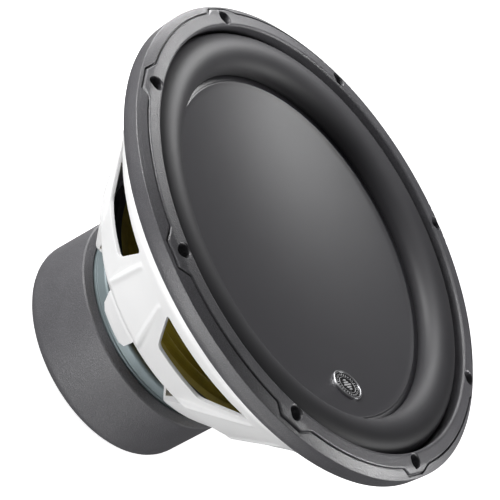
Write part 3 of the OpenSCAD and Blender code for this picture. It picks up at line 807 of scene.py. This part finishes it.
def basket_columns(z):
    """Degrees from a spoke's middle over half a pitch; the last WINDOW_COLUMNS cross the window."""
    r = cone_r(max(z, RIM_Z))
    half = panel_half(max(min(z, PANEL_TOP_Z), RIM_Z))
    edge = max(window_edge(z), math.degrees((half + FLANK_REACH) / r))
    flat = half - 6.5
    near = [0, 0.4 * flat, 0.75 * flat] + [half + d for d in FLANK_COLUMNS]
    degrees = [math.degrees(y / r) for y in near]
    last = degrees[-1]
    degrees += [last + (edge - last) * t for t in (0.35, 0.7, 1)]
    pitch = 180 / SPOKES
    degrees += [edge + (pitch - edge) * i / WINDOW_COLUMNS for i in range(1, WINDOW_COLUMNS + 1)]
    return degrees


# Radii along a foot's flat pad, and how the foot widens from the pad to the rim.
PAD_OUT_R = 70.0
PAD_R = 60.0
PAD_IN_R = 50.5
FLARE_STOP_R = 62.0
FLARE_POWER = 2.4


def foot(turn_deg):
    """A foot under a spoke: it goes on down the wall's line, then turns in to its pad."""
    low = PLATE_TOP + FIT
    high = low + SHEET
    slope = (WALL_R - RIM_R) / (WALL_Z - RIM_Z)
    bend_r = RIM_R - slope * (RIM_Z - PLATE_TOP - 3)
    across = SHEET / math.cos(math.atan(slope))
    root_z = RIM_Z + 3
    outline = rounded([
        (cone_r(root_z) + 0.3, root_z, 0), (RIM_R + 0.35, RIM_Z - 0.4, 3),
        (bend_r + 1.5, PLATE_TOP + 5.5, 7), (bend_r - 3.2, low, 4.5), (PAD_OUT_R, low, 0),
        (PAD_R, low, 0), (PAD_IN_R, low, 0.5), (PAD_IN_R, high, 0.5), (PAD_R, high, 0),
        (bend_r - across - 2.4, high, 3), (RIM_R - across - 1.2, RIM_Z + 1.2, 0),
        (cone_r(root_z) - 1.2, root_z, 0)], 5)
    half = math.degrees(math.asin(FOOT_W / 2 / bend_r))

    def flare(r, degrees, z):
        """Widens the foot towards the rim."""
        drop = max(0, min(1, (RIM_Z + 1 - z) / (RIM_Z - PLATE_TOP - 1)))
        wide = FOOT_W + (FOOT_TOP_W - FOOT_W) * math.sqrt(max(0, 1 - drop ** FLARE_POWER))
        return r, degrees * wide / FOOT_W * bend_r / max(r, FLARE_STOP_R), z

    made = revolve("foot", outline, WHITE_PAINT, 14, 60, arc=(-half, half), warp=flare)
    made.data.transform(Matrix.Rotation(math.radians(turn_deg), 4, "Z"))
    return made


def pressing():
    """The basket's sheet, without its feet: one grid round the axis, left open at the windows."""
    rows = basket_rows()
    per_half = len(basket_columns(0))
    sector = 2 * (per_half - 1)
    around = sector * SPOKES
    points = []
    for r, z in rows:
        degrees = basket_columns(z)
        line = [-d for d in reversed(degrees[1:])] + degrees[:-1]
        on_cone = RIM_Z < z < WALL_Z
        for spoke in range(SPOKES):
            for d in line:
                relief = pressed_height(math.radians(d) * cone_r(z), z) if on_cone else 0
                out = r + relief * OUTWARD
                a = math.radians(SPOKE_TURN + spoke * 360 / SPOKES + d)
                points.append((out * math.cos(a), out * math.sin(a), z))
    faces = []
    for i in range(len(rows) - 1):
        middle_z = (rows[i][1] + rows[i + 1][1]) / 2
        open_row = WINDOW_LOW_Z < middle_z < WINDOW_TOP_Z and rows[i][0] < WALL_R
        for k in range(around):
            if open_row and not WINDOW_COLUMNS <= k % sector < sector - WINDOW_COLUMNS:
                continue
            a = i * around
            b = (i + 1) * around
            n = (k + 1) % around
            faces.append((a + k, a + n, b + n, b + k))
    shell = make_piece("pressing", points, faces, WHITE_PAINT, 60)
    sample = shell.data.polygons[len(faces) // 2]
    if sample.normal.dot(Vector((sample.center.x, sample.center.y, 0))) < 0:
        shell.data.flip_normals()
    thicken = shell.modifiers.new("sheet", "SOLIDIFY")
    thicken.thickness = SHEET * MM
    thicken.offset = -1
    thicken.use_even_offset = True
    soften(shell, 0.45, 2, 50)
    bake_modifiers(shell)
    return shell


def basket():
    """The white pressed basket: flange, wall, spokes, rim, ledge and feet."""
    shell = pressing()
    bolt_hole = [(0, -3), (BOLT_HOLE_R, -3), (BOLT_HOLE_R, 5), (0, 5)]
    drill_bolt_holes(shell, bolt_hole, WHITE_PAINT, 32)
    feet = [foot(SPOKE_TURN + i * 360 / SPOKES) for i in range(SPOKES)]
    whole = join("basket_pressing", [shell] + feet)
    shade(whole.data, 40)
    stands_for(whole, CHASSIS, "basket")


# --- Surround and dish --------------------------------------------------------------------

def share_between(piece, inner_r, outer_r):
    """Bakes a round piece's placement into its mesh and works out each point's share between the cone at
    inner_r and the chassis at outer_r; nothing uses that share, so the piece does not bend.
    """
    outer_r * MM
    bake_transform(piece)
    co = np.array([v.co for v in piece.data.vertices], float).reshape(-1, 3)
    away = np.hypot(co[:, 0], co[:, 1]) / MM
    t = np.clip((outer_r - away) / (outer_r - inner_r), 0, 1)


def surround():
    """A half roll of rubber between the ring and the dish's lip."""
    middle = (ROLL_OUT_R + ROLL_IN_R) / 2
    base = SHEET + RUBBER / 2
    half = (ROLL_OUT_R - ROLL_IN_R) / 2

    def roll(grow, steps=30):
        """The half roll's arch, grown by half the rubber's thickness or shrunk by it."""
        rise = ROLL_TOP - base - RUBBER / 2 + grow
        return [(middle + (half + grow) * math.cos(math.pi * i / steps),
                 base + rise * math.sin(math.pi * i / steps)) for i in range(steps + 1)]

    over = roll(RUBBER / 2)
    under = roll(-RUBBER / 2)
    glued_z = LIP_Z - 1.9
    outer_lip = [(CLAMPED_R, SHEET + FIT), (CLAMPED_R, SHEET + RUBBER), (over[0][0], SHEET + RUBBER)]
    fold = [(ROLL_IN_R - 0.75, 3.1), (ROLL_IN_R - 0.5, 1.2), (ROLL_IN_R + 0.1, 0.15),
            (ROLL_IN_R + 0.3, -0.1)]
    glued_lip = [(ROLL_IN_R + 0.3, glued_z), (LIP_R - 2, glued_z), (LIP_R - 2, glued_z - RUBBER),
                 (ROLL_IN_R + RUBBER, glued_z - RUBBER)]
    outline = outer_lip + over[1:-2] + fold + glued_lip + under[-2:0:-1]
    outline.append((under[0][0], SHEET + FIT))
    made = revolve("surround_roll", outline, SURROUND_RUBBER, 240, 40)
    share_between(made, ROLL_IN_R + 1, ROLL_OUT_R - 1)
    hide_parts("surround")


def dish_z(r):
    """Height of the dish's face."""
    return LIP_Z - DISH_DEPTH + DISH_CURVE - math.sqrt(DISH_CURVE ** 2 - r * r)


def cone_dish():
    """The dish: a shallow bowl with a fine ridge and a flat lip round it."""
    face = [(r, dish_z(r)) for r in np.linspace(0, LIP_R - 0.9, 40)]
    ridge = [(LIP_R - 0.4, LIP_Z - 0.02), (LIP_R, LIP_Z + 0.08), (LIP_R + 0.5, LIP_Z + 0.05),
             (LIP_R + 1.0, LIP_Z - 0.25)]
    lip = [(LIP_R + 1.5, LIP_Z - 0.35), (ROLL_IN_R - 0.4, LIP_Z - 0.35),
           (ROLL_IN_R - 0.05, LIP_Z - 0.5), (ROLL_IN_R - 0.05, LIP_Z - 1.5), (LIP_R - 3, LIP_Z - 1.6)]
    back = [(r, z - DISH_T) for r, z in reversed(face[:-2])]
    outline = face + ridge + lip + back
    made = revolve("cone_dish_moulding", outline, DISH_PLASTIC, 240, 50)
    return stands_for(made, CONE, "cone_dish")


# --- Badge --------------------------------------------------------------------------------

BADGE_R = LIP_R - 23
BADGE_HALF = 11.3
BEZEL_W = 1.7
BADGE_T = 1.8
BADGE_SUNK = 0.3
BADGE_FACE_Z = BADGE_T - 0.8
LINE_R = 6.1
LINE_W = 0.3
TICKS = 28
TICK_IN_R = 7.3
TICK_OUT_R = 8.5
TICK_HALF_DEG = 1.7
BAR_HEIGHTS = (2.6, 4.8, 7.4, 4.8, 2.6)
BAR_HALF_W = 0.55
BAR_PITCH = 1.75


def on_badge(piece):
    """Lays a piece made at the origin on the dish, where the badge is."""
    tilt = math.asin(BADGE_R / DISH_CURVE)
    piece.data.transform(
        Matrix.Rotation(math.pi / 2, 4, "Z")
        @ Matrix.Translation((BADGE_R * MM, 0, dish_z(BADGE_R) * MM))
        @ Matrix.Rotation(-tilt, 4, "Y"))
    return piece


def raised_strip(near, far, height, corner):
    """Section of a raised line on the badge's face, from near to far from the badge's middle."""
    high = BADGE_FACE_Z + height
    return [(near, BADGE_FACE_Z, 0), (far, BADGE_FACE_Z, 0), (far, high, corner), (near, high, corner)]


def badge():
    """A round badge with a plain emblem: a thin ring, tick marks and five level bars."""
    inner = BADGE_HALF - BEZEL_W
    frame_section = rounded([
        (inner, -BADGE_SUNK, 0), (BADGE_HALF, -BADGE_SUNK, 0),
        (BADGE_HALF, BADGE_T, 0.7), (inner, BADGE_T, 0.6)], 6)
    bezel = on_badge(revolve("badge_bezel_ring", frame_section, CHROME, 96, 60))
    stands_for(bezel, CONE, "badge_bezel")
    disc = [(0, -BADGE_SUNK), (inner, -BADGE_SUNK), (inner, BADGE_FACE_Z), (0, BADGE_FACE_Z)]
    plate = on_badge(revolve("badge_disc", disc, BADGE_BLACK, 96))
    stands_for(plate, CONE, "badge_face")
    line = rounded(raised_strip(LINE_R, LINE_R + LINE_W, 0.3, 0.12), 3)
    tick = rounded(raised_strip(TICK_IN_R, TICK_OUT_R, 0.25, 0.1), 2)
    marks = [revolve("mark", line, ENAMEL, 72, 60)]
    for i in range(TICKS):
        middle = i * 360 / TICKS
        arc = (middle - TICK_HALF_DEG, middle + TICK_HALF_DEG)
        marks.append(revolve("mark", tick, ENAMEL, 2, 60, arc=arc))
    for i, height in enumerate(BAR_HEIGHTS):
        left = (i - 2) * BAR_PITCH - BAR_HALF_W
        right = (i - 2) * BAR_PITCH + BAR_HALF_W
        bar = rounded([(left, -height / 2, 0.5), (right, -height / 2, 0.5),
                       (right, height / 2, 0.5), (left, height / 2, 0.5)], 4)
        marks.append(prism("mark", bar, BADGE_FACE_Z, BADGE_FACE_Z + 0.35, ENAMEL))
    emblem = on_badge(join("badge_emblem", marks))
    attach(emblem, CONE)


# --- Spider, plate and boot ---------------------------------------------------------------

def spider():
    """The corrugated cloth disc that centres the coil."""
    inner = FORMER_R + 0.3
    first = inner + 3
    last = SPIDER_R - 6
    count = SPIDER_WAVES * 12
    line = [(inner, SPIDER_Z)]
    for i in range(count + 1):
        r = first + (last - first) * i / count
        wave = math.sin(FULL_TURN * SPIDER_WAVES * i / count)
        line.append((r, SPIDER_Z + SPIDER_WAVE_H / 2 * wave))
    line.append((SPIDER_R, SPIDER_Z))
    outline = [(r, z + SPIDER_HALF_T) for r, z in line]
    outline += [(r, z - SPIDER_HALF_T) for r, z in reversed(line)]
    made = revolve("spider_cloth_disc", outline, SPIDER_CLOTH, 200, 60)
    share_between(made, first, last)
    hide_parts("spider")


def top_plate():
    """The zinc plated ring under the feet, stepped above the boot's lip and well rounded."""
    low = PLATE_LOW + FIT
    rim = BOOT_TOP + 1.2
    neck_r = PLATE_R - 0.8
    outline = rounded([
        (PLATE_BORE_R, low, 0), (PLATE_R, low, 0.2), (PLATE_R, rim, 0.35), (neck_r, rim + 0.6, 0.3),
        (neck_r, PLATE_TOP, 5.2), (60, PLATE_TOP, 0),
        (PLATE_BORE_R + 0.8, PLATE_TOP, 0.4), (PLATE_BORE_R, PLATE_TOP - 0.8, 0.3)], 8)
    made = revolve("top_plate_turning", outline, ZINC, 200, 40)
    stands_for(made, CHASSIS, "top_plate")


BOOT_BORE_R = 12.0
BOOT_SKIN = 3.2
BOOT_FLOOR = 2.5


def boot_groove(near, back):
    """A shallow groove in the boot's back, 4 mm across from near."""
    return [(near, back, 0.5), (near + 0.6, back + 0.7, 0.4),
            (near + 3.4, back + 0.7, 0.4), (near + 4, back, 0.5)]


def magnet_boot():
    """The rubber cup over the magnets: a lip at the front, a large rounding and grooves at the back."""
    back = BOOT_LOW
    lip = BOOT_TOP
    clear_r = PLATE_R + 0.3
    skin_r = BOOT_R - BOOT_SKIN
    outside = [
        (BOOT_R, back, 11), (BOOT_R, PLATE_LOW + 0.3, 0.7), (BOOT_R - 0.7, PLATE_LOW + 1.2, 0.5),
        (clear_r + 0.9, lip, 0.6), (clear_r, lip - 0.6, 0.2)]
    inside = [
        (clear_r, PLATE_LOW, 0), (skin_r, PLATE_LOW, 0), (skin_r, back + 14.5, 0),
        (clear_r, back + 13.4, 0), (clear_r, back + 4.5, 0), (PLATE_R - 1.7, back + BOOT_FLOOR, 0),
        (BOOT_BORE_R, back + BOOT_FLOOR, 0.5)]
    grooves = boot_groove(24, back) + boot_groove(52, back)
    outline = rounded([(BOOT_BORE_R, back, 0.6)] + grooves + outside + inside, 7)
    made = revolve("magnet_boot_cup", outline, BOOT_RUBBER, 240, 40)
    stands_for(made, CHASSIS, "magnet_boot")


# --- Springs and leads --------------------------------------------------------------------

def tube(name, path, thick, material, sides=8):
    """A round rod of that radius along points, both in millimetres, closed at its ends."""
    path = [Vector(p) for p in path]
    points, faces = [], []
    for i, p in enumerate(path):
        ahead = (path[min(i + 1, len(path) - 1)] - path[max(i - 1, 0)]).normalized()
        across = ahead.cross(Vector((0, 0, 1))).normalized()
        up = across.cross(ahead)
        for k in range(sides):
            a = FULL_TURN * k / sides
            points.append(p + thick * (math.cos(a) * across + math.sin(a) * up))
    for i in range(len(path) - 1):
        here = i * sides
        there = here + sides
        for k in range(sides):
            m = (k + 1) % sides
            faces.append((here + k, there + k, there + m, here + m))
    last = (len(path) - 1) * sides
    faces += [tuple(range(sides)), tuple(range(last, last + sides))]
    return make_piece(name, points, faces, material, 60)


SPRING_TURNS = 4
SPRING_WIRE_R = 0.33
STRANDS = 3
STRAND_R = 0.58
STRAND_TURN_R = 0.55
LEAD_TWISTS = 9
LEAD_STEPS = 90
TAG_R = 111.5
COLLAR_TURN_DEG = 17


def button_spring(colour):
    """A coil spring between a button and the roof of its bore."""
    node = "button_spring_" + colour
    low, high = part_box(node)
    centre = (low + high) / 2 / MM
    mean_r = (high.x - low.x) / MM / 2 - 0.45
    steps = SPRING_TURNS * 20
    z0 = low.z / MM + 0.35
    z1 = high.z / MM - 0.35
    path = []
    for i in range(steps + 1):
        a = FULL_TURN * SPRING_TURNS * i / steps
        z = z0 + (z1 - z0) * i / steps
        path.append((centre.x + mean_r * math.cos(a), centre.y + mean_r * math.sin(a), z))
    made = tube(node + "_coil", path, SPRING_WIRE_R, SPRING_STEEL, 6)
    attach(made, CHASSIS)
    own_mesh(made)
    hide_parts(node)


def lead_route(colour, side):
    """The four points of a lead's curve, with the terminal block on the +X side."""
    tag_z = top("contact_" + colour)
    end_r = NECK_COLLAR_R + 0.3
    end_angle = math.radians(COLLAR_TURN_DEG)
    return [
        Vector((TAG_R - 0.5, side * 11, tag_z - 3)),
        Vector((TAG_R - 22, side * 11, tag_z - 6)),
        Vector((NECK_COLLAR_R + 34, side * 13, COLLAR_Z - 6)),
        Vector((end_r * math.cos(end_angle), side * end_r * math.sin(end_angle), COLLAR_Z + 4))]


def on_curve(knots, t):
    """A point at share t along a cubic curve."""
    a, b, c, d = knots
    return (1 - t) ** 3 * a + 3 * (1 - t) ** 2 * t * b + 3 * (1 - t) * t * t * c + t ** 3 * d


def tinsel_lead(colour, side):
    """Three twisted strands from a contact's tag, under the neck, to the collar."""
    knots = lead_route(colour, side)
    turn = Matrix.Rotation(math.radians(TERMINAL_TURN), 3, "Z")
    strands = []
    for strand in range(STRANDS):
        path = []
        for i in range(LEAD_STEPS + 1):
            t = i / LEAD_STEPS
            a = FULL_TURN * (LEAD_TWISTS * t + strand / STRANDS)
            off = Vector((0, STRAND_TURN_R * math.cos(a), STRAND_TURN_R * math.sin(a)))
            path.append(turn @ (on_curve(knots, t) + off))
        strands.append(tube("strand", path, STRAND_R, TINSEL, 7))
    made = join("tinsel_lead_" + colour + "_braid", strands)
    share_between(made, NECK_COLLAR_R + 2, TAG_R - 3)
    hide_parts("tinsel_lead_" + colour)


# --- CAD nodes that stay ------------------------------------------------------------------

WELD_M = 0.000002


def refinish(node, material, edge=0.0):
    """Gives a CAD node its finish, and rounds its sharp edges by edge millimetres."""
    piece = frame["nodes"][node]
    for slot in piece.material_slots:
        slot.material = material
    if edge:
        weld = piece.modifiers.new("weld", "WELD")
        weld.merge_threshold = WELD_M
        soften(piece, edge)


# --- Room ---------------------------------------------------------------------------------

# The camera looks at AIM_M from DISTANCE_M away. BACK points from there to the camera.
AIM_M = Vector((0.0159, -0.0098, -0.0233))
BACK = Vector((0.8462, 0.1775, 0.5024))
RIGHT = Vector((-0.5295, 0.3852, 0.7558))
UP = Vector((-0.0593, -0.9056, 0.4199))
DISTANCE_M = 1.8655
LENS_MM = 220.27
SENSOR_MM = 36
FLOOR_HALF_M = 9
FLOOR_GAP_M = 0.0005
ROOM_LIGHT = 0.11


def camera():
    """A long lens, held at a slant, well above the driver and in front of it."""
    data = bpy.data.cameras.new("camera")
    data.lens = LENS_MM
    data.sensor_width = SENSOR_MM
    data.clip_start = 0.05
    data.clip_end = 60
    made = bpy.data.objects.new("camera", data)
    bpy.context.scene.collection.objects.link(made)
    turn = Matrix((RIGHT, UP, BACK)).transposed().to_4x4()
    made.matrix_world = Matrix.Translation(AIM_M + BACK * DISTANCE_M) @ turn
    bpy.context.scene.camera = made


def softbox(name, turn_deg, rise_deg, away_m, side_m, power, only=None):
    """A soft square light at a turn round the driver and a rise over its mounting plane, facing it.

    A light with only= falls on that one piece, as a lamp with flags round it would.
    """
    turn = math.radians(turn_deg)
    rise = math.radians(rise_deg)
    out = Vector((math.cos(rise) * math.cos(turn), math.cos(rise) * math.sin(turn), math.sin(rise)))
    data = bpy.data.lights.new(name, "AREA")
    data.shape = "SQUARE"
    data.size = side_m
    data.energy = power
    made = bpy.data.objects.new(name, data)
    bpy.context.scene.collection.objects.link(made)
    made.location = AIM_M + out * away_m
    made.visible_camera = False
    made.rotation_mode = "QUATERNION"
    made.rotation_quaternion = (-out).to_track_quat("-Z", "Y")
    if only:
        lit = bpy.data.collections.new(name + "_lights_only")
        lit.objects.link(only)
        made.light_linking.receiver_collection = lit


def room():
    """White surroundings and a pale floor that only the camera sees."""
    world = bpy.data.worlds.new("studio")
    bpy.context.scene.world = world
    world.use_nodes = True
    sky = world.node_tree.nodes["Background"]
    sky.inputs["Color"].default_value = (1, 1, 1, 1)
    sky.inputs["Strength"].default_value = ROOM_LIGHT
    bpy.context.scene.view_settings.view_transform = "Standard"
    low_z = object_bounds()[0].z - FLOOR_GAP_M
    corners = [(-1, -1), (1, -1), (1, 1), (-1, 1)]
    mesh = bpy.data.meshes.new("floor")
    mesh.from_pydata([(x * FLOOR_HALF_M, y * FLOOR_HALF_M, low_z) for x, y in corners], [], [(0, 1, 2, 3)])
    mesh.materials.append(FLOOR)
    floor = bpy.data.objects.new("floor", mesh)
    bpy.context.scene.collection.objects.link(floor)
    floor.visible_diffuse = False
    floor.visible_glossy = False
    floor.visible_transmission = False
    floor.visible_shadow = False


def lights(ring, dish):
    """Soft boxes round the driver, and two lamps that model the ring's and the dish's shading."""
    softbox("key", turn_deg=-62, rise_deg=8, away_m=1.0, side_m=0.45, power=12)
    softbox("overhead", turn_deg=-95, rise_deg=32, away_m=1.2, side_m=0.7, power=0.8)
    softbox("rear_edge", turn_deg=-124, rise_deg=-4, away_m=1.3, side_m=0.6, power=11)
    softbox("front_low", turn_deg=14, rise_deg=-20, away_m=1.3, side_m=0.7, power=11.5)
    softbox("low_left", turn_deg=-60, rise_deg=-35, away_m=1.3, side_m=0.7, power=0.6)
    softbox("right_edge", turn_deg=132, rise_deg=22, away_m=1.3, side_m=0.6, power=5)
    softbox("bottom_edge", turn_deg=65, rise_deg=-35, away_m=1.3, side_m=0.6, power=3.5)
    softbox("ring_glow", turn_deg=-128, rise_deg=40, away_m=0.33, side_m=0.16, power=0.62)
    softbox("ring_low", turn_deg=120, rise_deg=36, away_m=0.45, side_m=0.16, power=1.1, only=ring)
    softbox("dish_glow", turn_deg=171, rise_deg=49, away_m=0.8, side_m=0.25, power=1.25, only=dish)


# --- Assembly -----------------------------------------------------------------------------

camera()
RING_RUBBER = grained_rubber("ring_rubber", (0.042, 0.041, 0.046), 0.42, 0.7, 0.14)
BOOT_RUBBER = grained_rubber("boot_rubber", (0.041, 0.040, 0.045), 0.56, 0.75, 0.12)
SURROUND_RUBBER = satin_rubber()
DISH_PLASTIC = dish_plastic()
WHITE_PAINT = white_paint()
ZINC = zinc_plate()
SPIDER_CLOTH = spider_cloth()
BLACK_PLASTIC = moulded_plastic("black_plastic", (0.018, 0.018, 0.020), 0.5)
NECK_PAPER = moulded_plastic("neck_pulp", (0.020, 0.020, 0.022), 0.7)
RED_PLASTIC = glossy_plastic("red_button_plastic", (0.52, 0.02, 0.02))
DARK_PLASTIC = glossy_plastic("black_button_plastic", (0.016, 0.016, 0.017))
BADGE_BLACK = glossy_plastic("badge_black_enamel", (0.012, 0.012, 0.013))
CHROME = bare_metal("badge_chrome", (0.66, 0.66, 0.68), 0.32)
ENAMEL = moulded_plastic("badge_white_enamel", (0.50, 0.50, 0.51), 0.4)
SPRING_STEEL = bare_metal("spring_steel", (0.60, 0.60, 0.62), 0.3)
FASTENER = bare_metal("fastener_zinc", (0.66, 0.68, 0.70), 0.28)
BRASS = bare_metal("contact_brass", (0.76, 0.58, 0.26), 0.3)
FOIL = bare_metal("former_foil", (0.62, 0.50, 0.30), 0.36)
ALUMINIUM = bare_metal("turned_aluminium", (0.78, 0.78, 0.80), 0.3)
FERRITE = fired_ferrite()
COPPER = wound_copper()
TINSEL = braided_copper()
FLOOR = floor_paint()

room()
ring_piece = trim_ring()
basket()
surround()
dish_piece = cone_dish()
badge()
spider()
top_plate()
magnet_boot()
for button_colour, button_side in (("red", 1), ("black", -1)):
    button_spring(button_colour)
    tinsel_lead(button_colour, button_side)
    refinish("contact_" + button_colour, BRASS, 0.1)
refinish("button_red", RED_PLASTIC, 0.25)
refinish("button_black", DARK_PLASTIC, 0.25)
refinish("terminal_block", BLACK_PLASTIC, 0.3)
refinish("terminal_rivet", FASTENER, 0.2)
refinish("foot_screws", FASTENER, 0.25)
# Partly painted shade: the spider ring is black plastic, and its black also stands for the shade on the
# basket's white landing round the spider's edge.
refinish("spider_ring", BLACK_PLASTIC, 0.3)
refinish("cone_neck", NECK_PAPER)
refinish("voice_coil_former", FOIL)
refinish("voice_coil", COPPER)
refinish("magnet_front", FERRITE)
refinish("magnet_rear", FERRITE)
refinish("back_plate_and_pole", ZINC)
refinish("shorting_ring", ALUMINIUM)

lights(ring_piece, dish_piece)
